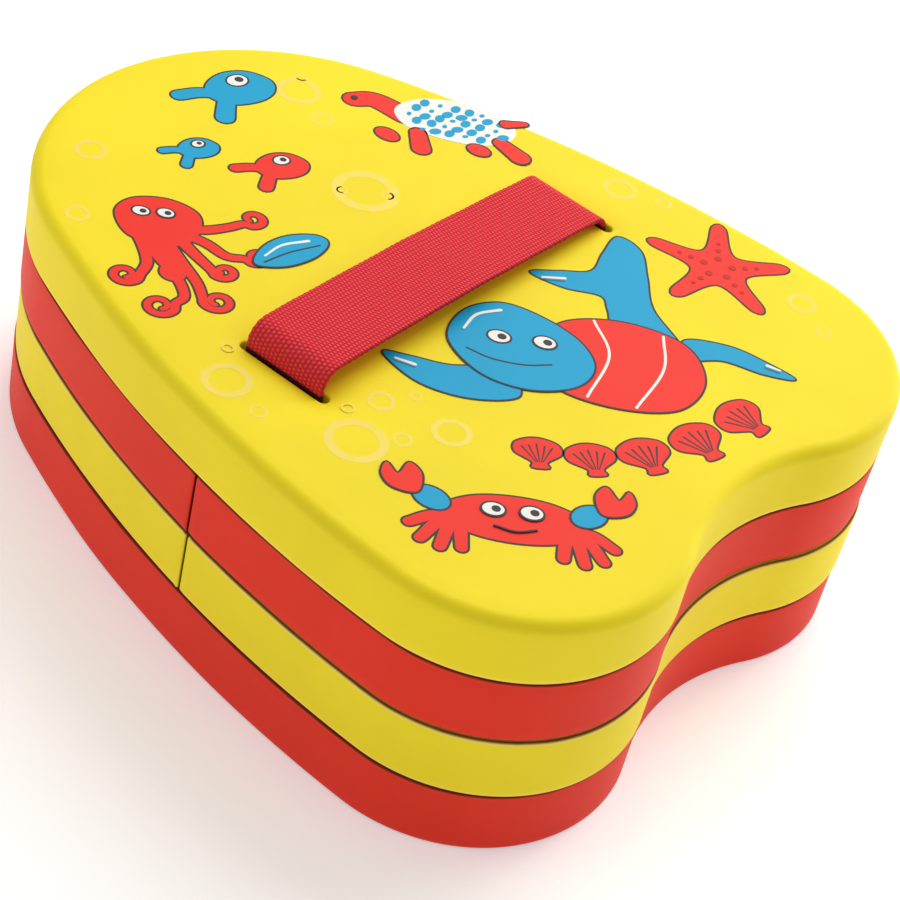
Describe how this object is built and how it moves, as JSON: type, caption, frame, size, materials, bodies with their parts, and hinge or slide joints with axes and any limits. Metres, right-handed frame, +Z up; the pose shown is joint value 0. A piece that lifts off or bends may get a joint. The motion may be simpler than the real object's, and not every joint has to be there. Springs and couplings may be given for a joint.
{
  "type": "kickboard float",
  "caption": "Layered foam swim float with a rounded end, a notched end and a webbing waist belt threaded through slots, closed by a side-release buckle.",
  "frame": {"origin": "floor level under the middle of the foam outline", "axes": "+Y towards the rounded end, -Y towards the notch between the two lobes, +Z up through the layers to the printed face, +X towards the side where the belt and buckle lie"},
  "size_m": [0.3093, 0.273, 0.0998],
  "materials": {
    "foam_yellow": "closed-cell foam, smooth skin with a fine grain",
    "foam_red": "closed-cell foam, smooth skin with a fine grain",
    "webbing": "woven polypropylene webbing",
    "thread": "bar-tack sewing thread",
    "elastic": "woven elastic",
    "buckle_plastic": "moulded acetal, fine satin"
  },
  "bodies": {
    "base": {"bottom_layer": "foam_red", "belt_drop_left_base": "webbing", "belt_drop_right_base": "webbing", "belt_socket_strand": "webbing", "belt_plug_strand": "webbing", "belt_free_tail": "webbing", "belt_tail_hem": "webbing", "belt_bar_tack": "thread", "buckle_socket": "buckle_plastic", "buckle_plug": "buckle_plastic"},
    "lower_middle": {"lower_middle_layer": "foam_yellow", "belt_drop_left_lower": "webbing", "belt_drop_right_lower": "webbing"},
    "upper_middle": {"upper_middle_layer": "foam_red", "belt_drop_left_upper": "webbing", "belt_drop_right_upper": "webbing"},
    "top": {"top_layer": "foam_yellow", "belt_top_span": "webbing"},
    "prong_left": {"buckle_prong_left": "buckle_plastic"},
    "prong_right": {"buckle_prong_right": "buckle_plastic"},
    "keeper": {"belt_keeper": "elastic"}
  },
  "joints": [
    {"name": "lower_middle_lift", "type": "slide", "parent": "base", "child": "lower_middle", "axis": [0, 0, 1], "range_m": [0, 0.02], "deforming": ["belt_drop_left_base", "belt_drop_right_base"]},
    {"name": "upper_middle_lift", "type": "slide", "parent": "lower_middle", "child": "upper_middle", "axis": [0, 0, 1], "range_m": [0, 0.02], "deforming": ["belt_drop_left_lower", "belt_drop_right_lower"]},
    {"name": "top_lift", "type": "slide", "parent": "upper_middle", "child": "top", "axis": [0, 0, 1], "range_m": [0, 0.02], "deforming": ["belt_drop_left_upper", "belt_drop_right_upper"]},
    {"name": "prong_left_press", "type": "hinge", "parent": "base", "child": "prong_left", "pos_m": [0.1778, 0.0045, 0.0062], "axis": [0, 0, 1], "range_deg": [0, 8], "stiffness_Nm_per_rad": 0.8},
    {"name": "prong_right_press", "type": "hinge", "parent": "base", "child": "prong_right", "pos_m": [0.1778, -0.0165, 0.0062], "axis": [0, 0, -1], "range_deg": [0, 8], "stiffness_Nm_per_rad": 0.8},
    {"name": "keeper_slide", "type": "slide", "parent": "base", "child": "keeper", "axis": [1, 0, 0], "range_m": [-0.006, 0.004]}
  ]
}
